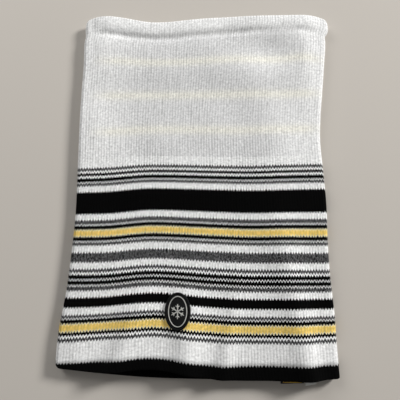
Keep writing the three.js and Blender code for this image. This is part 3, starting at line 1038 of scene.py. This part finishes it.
def label(x0, width, end, skew=0.0):
    """A strip of tape with its folded hem at the free end."""
    cols, rows = 22, 46
    hem_rows, hem_fuller, edge_round = 5, 1.35, 0.08
    upper, lower = [], []
    for i in range(rows + 1):
        for j in range(cols + 1):
            u = j / cols
            y = LABEL_ROOT + (end + skew * (u - 0.5) - LABEL_ROOT) * i / rows
            x = x0 + width * u
            z = float(label_z(x, y))
            thick = LABEL_T * (1.0 if i < rows - hem_rows else hem_fuller)
            edge = edge_round if j in (0, cols) or i in (0, rows) else 0.0
            upper.append((x, y, z + thick - edge))
            lower.append((x, y, z + edge))
    size, across = len(upper), cols + 1
    faces = []
    for i in range(rows):
        for j in range(cols):
            a = i * across + j
            b = a + across
            faces.append((a, a + 1, b + 1, b))
            faces.append((size + a, size + b, size + b + 1, size + a + 1))
    rim = list(range(across))
    rim += [i * across + cols for i in range(1, rows + 1)]
    rim += [rows * across + j for j in range(cols - 1, -1, -1)]
    rim += [i * across for i in range(rows - 1, 0, -1)]
    for a, b in zip(rim, rim[1:] + rim[:1]):
        faces.append((a, size + a, size + b, b))
    return np.array(upper + lower), faces


def woven(name, base, dark, thread_mm=0.35, roughness=0.7):
    """Fine plain weave."""
    n = Nodes(name, roughness, sheen=0.05, specular=0.3)
    x, y = (n.times(value, 1 / (thread_mm * MM)) for value in n.split(n.place()))
    checker = n.math("FRACT", n.times(n.plus(n.math("FLOOR", x), n.math("FLOOR", y)), 0.5))
    over = n.math("GREATER_THAN", checker, 0.25)
    warp = n.math("SINE", n.times(n.math("FRACT", x), math.pi))
    weft = n.math("SINE", n.times(n.math("FRACT", y), math.pi))
    height = n.plus(n.times(over, warp), n.times(n.minus(1.0, over), weft))
    # painted shade: where a thread dips under its neighbour it takes the darker colour
    n.colour(n.mix(height, dark, base))
    n.bump(height, distance_mm=0.1, strength=0.7)
    return n.material


WOVEN_X, WOVEN_W, WOVEN_END = 73.0, 21.0, -181.6
CARE_X, CARE_W, CARE_END = 95.5, 10.0, -182.9
dark_weave = woven("label_weave_dark", linear(34, 35, 40), linear(12, 12, 15))
white_weave = woven("label_tape_white", linear(238, 238, 234), linear(205, 205, 200),
                    thread_mm=0.25, roughness=0.45)
woven_label = piece("woven_label_tape", [label(WOVEN_X, WOVEN_W, WOVEN_END, 0.5)], dark_weave, "dark_weave",
                    "woven_label_flap", "woven_label")
care_label = piece("care_label_tape", [label(CARE_X, CARE_W, CARE_END, 1.6)], white_weave, "white_tape",
                   "care_label_flap", "care_label")


def on_label(points):
    """Puts points, given with z above the label, on its upper face."""
    points = np.array(points, float)
    points[:, 2] += label_z(points[:, 0], points[:, 1]) + LABEL_T
    return points


MARK_SUNK, MARK_HIGH = -0.03, 0.3
MARK_LOW = 1.0       # the long bar lies this far from the label's end,
MARK_IN = 1.2        # and starts this far from its sides
MARK_FIRST, MARK_STEP = 2.6, 3.2
MARK_TALL, MARK_SHORT = 4.2, 2.8


def label_marks():
    """Plain bars: one long one near the free end and upright ones standing on it."""
    low = WOVEN_END + MARK_LOW
    right = WOVEN_X + WOVEN_W - MARK_IN
    parts = [bar(WOVEN_X + MARK_IN, low, right, low, 0.55, MARK_SUNK, MARK_HIGH, segments=26)]
    for i in range(6):
        x = WOVEN_X + MARK_FIRST + i * MARK_STEP
        top = low + (MARK_TALL if i % 2 else MARK_SHORT)
        parts.append(bar(x, low + 0.3, x, top, 0.5, MARK_SUNK, MARK_HIGH))
    return parts


marks = fused("woven_label_bars", label_marks(), voxel=0.12, place_points=on_label)
finished(marks, YELLOW_THREAD, "yellow_thread", "woven_label_flap", "woven_mark")

STITCH_Y = -147.3    # the labels are sewn on along this line
STITCH_Z = BACK_Z + 3.72
STITCH_ARCH = 0.55
STITCH_GAP = 0.12    # share of a stitch's length that is free at each of its ends
STITCH_LEAN = 0.25
STITCH_WANDER = 0.12
STITCH_THREAD_R = 0.2


def stitch_row(x0, width, count):
    """Short stitches side by side, each an arch of thread."""
    parts = []
    t = np.linspace(0, 1, 9)
    for i in range(count):
        x = x0 + width / count * (i + STITCH_GAP + (1 - 2 * STITCH_GAP) * t)
        y = STITCH_Y + STITCH_WANDER * math.sin(i * 2.4) + STITCH_LEAN * (t - 0.5)
        z = STITCH_Z + STITCH_ARCH * np.sin(math.pi * t) ** 0.7
        parts.append(tube(np.stack([x, y, z], 1), STITCH_THREAD_R))
    return parts


piece("woven_label_stitches", stitch_row(WOVEN_X, WOVEN_W, 9), BLACK_THREAD, "black_thread",
      "lower_half", "woven_label_stitch")
piece("care_label_stitches", stitch_row(CARE_X, CARE_W, 5), WHITE_THREAD, "white_thread",
      "lower_half", "care_label_stitch")

# ---- surroundings ----
FLOOR = 3000         # half its width
corners = [(x * FLOOR, y * FLOOR, 0) for x, y in ((-1, -1), (1, -1), (1, 1), (-1, 1))]
floor = mesh_object("floor", corners, [(0, 1, 2, 3)], smooth_faces=False)
floor_look = Nodes("floor_paint", 0.85, specular=0.2)
floor_look.colour(linear(196, 190, 182))
floor.data.materials.append(floor_look.material)


def area_light(name, place_mm, size_mm, watts, colour):
    """A round lamp that shines on the middle of the tube."""
    light = bpy.data.lights.new(name, "AREA")
    light.shape = "DISK"
    light.size = size_mm * MM
    light.energy = watts
    light.color = colour
    obj = bpy.data.objects.new(name, light)
    obj.location = Vector(place_mm) * MM
    obj.rotation_euler = (-Vector(place_mm)).to_track_quat("-Z", "Y").to_euler()
    bpy.context.scene.collection.objects.link(obj)


area_light("key", (2100, 1300, 1280), size_mm=680, watts=82, colour=(1.0, 0.995, 0.985))
area_light("fill", (-800, 900, 800), size_mm=900, watts=8, colour=(1.0, 1.0, 1.0))
world = bpy.data.worlds.new("studio")
bpy.context.scene.world = world
world.use_nodes = True
background = world.node_tree.nodes["Background"]
background.inputs["Color"].default_value = (1, 1, 1, 1)
background.inputs["Strength"].default_value = 0.2

# ---- camera ----
VIEW_TILT = math.atan(0.1806)      # off straight down
VIEW_DISTANCE = 423.6
VIEW_TARGET = (0, -12, 0)
SENSOR_WIDTH = 36
FOCAL_SHARE = 1.075                # focal length over the sensor's width
camera = bpy.data.cameras.new("camera")
camera.sensor_width = SENSOR_WIDTH
camera.lens = SENSOR_WIDTH * FOCAL_SHARE
camera.clip_start = 0.01
view_from = bpy.data.objects.new("camera", camera)
backward = Vector((0, -math.sin(VIEW_TILT), math.cos(VIEW_TILT)))
view_from.location = (Vector(VIEW_TARGET) + backward * VIEW_DISTANCE) * MM
view_from.rotation_euler = (VIEW_TILT, 0, 0)
bpy.context.scene.collection.objects.link(view_from)
bpy.context.scene.camera = view_from
bpy.context.scene.view_settings.view_transform = "Standard"
